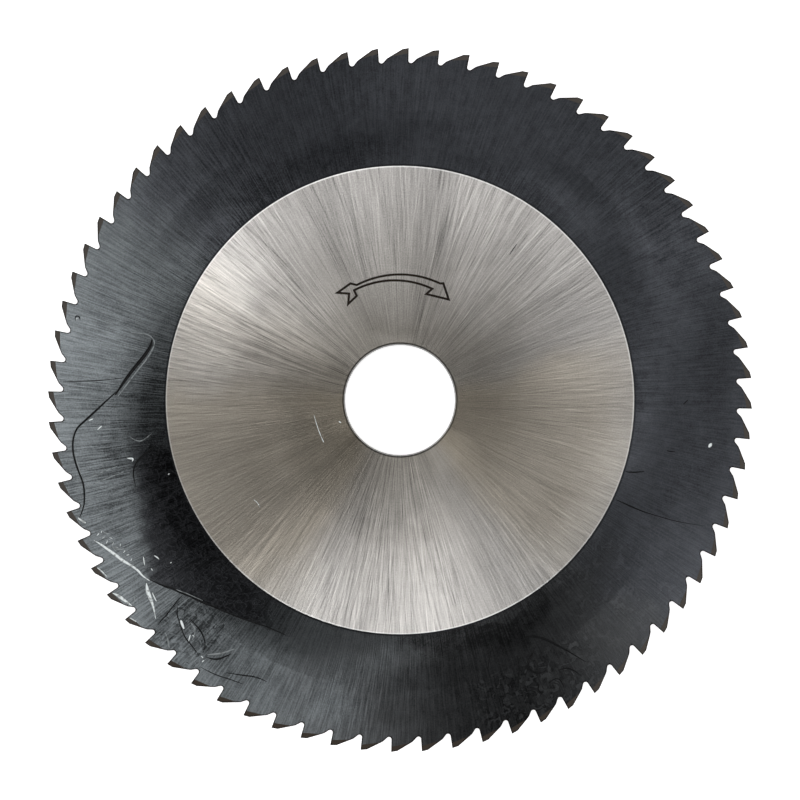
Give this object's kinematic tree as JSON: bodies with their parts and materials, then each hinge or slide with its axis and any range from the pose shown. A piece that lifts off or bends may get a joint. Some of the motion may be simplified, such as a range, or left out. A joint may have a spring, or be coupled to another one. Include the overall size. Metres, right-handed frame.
{
  "type": "key cutting wheel",
  "caption": "One-piece key cutting wheel: a flat ground hub with a round bore, hollow-ground sides and a fine-toothed V rim.",
  "frame": {"origin": "centre of the bore at the lower hub face, which the wheel lies on", "axes": "+Z along the bore, up through the marked face; +X through one cutting edge; the edges lead clockwise seen from +Z"},
  "size_m": [0.0604, 0.0604, 0.0052],
  "materials": {
    "tool_steel": "hub faces ground bright with a radial lay, hollow sides and teeth blackened"
  },
  "bodies": {
    "root": {"cutting_wheel": "tool_steel"}
  },
  "joints": []
}
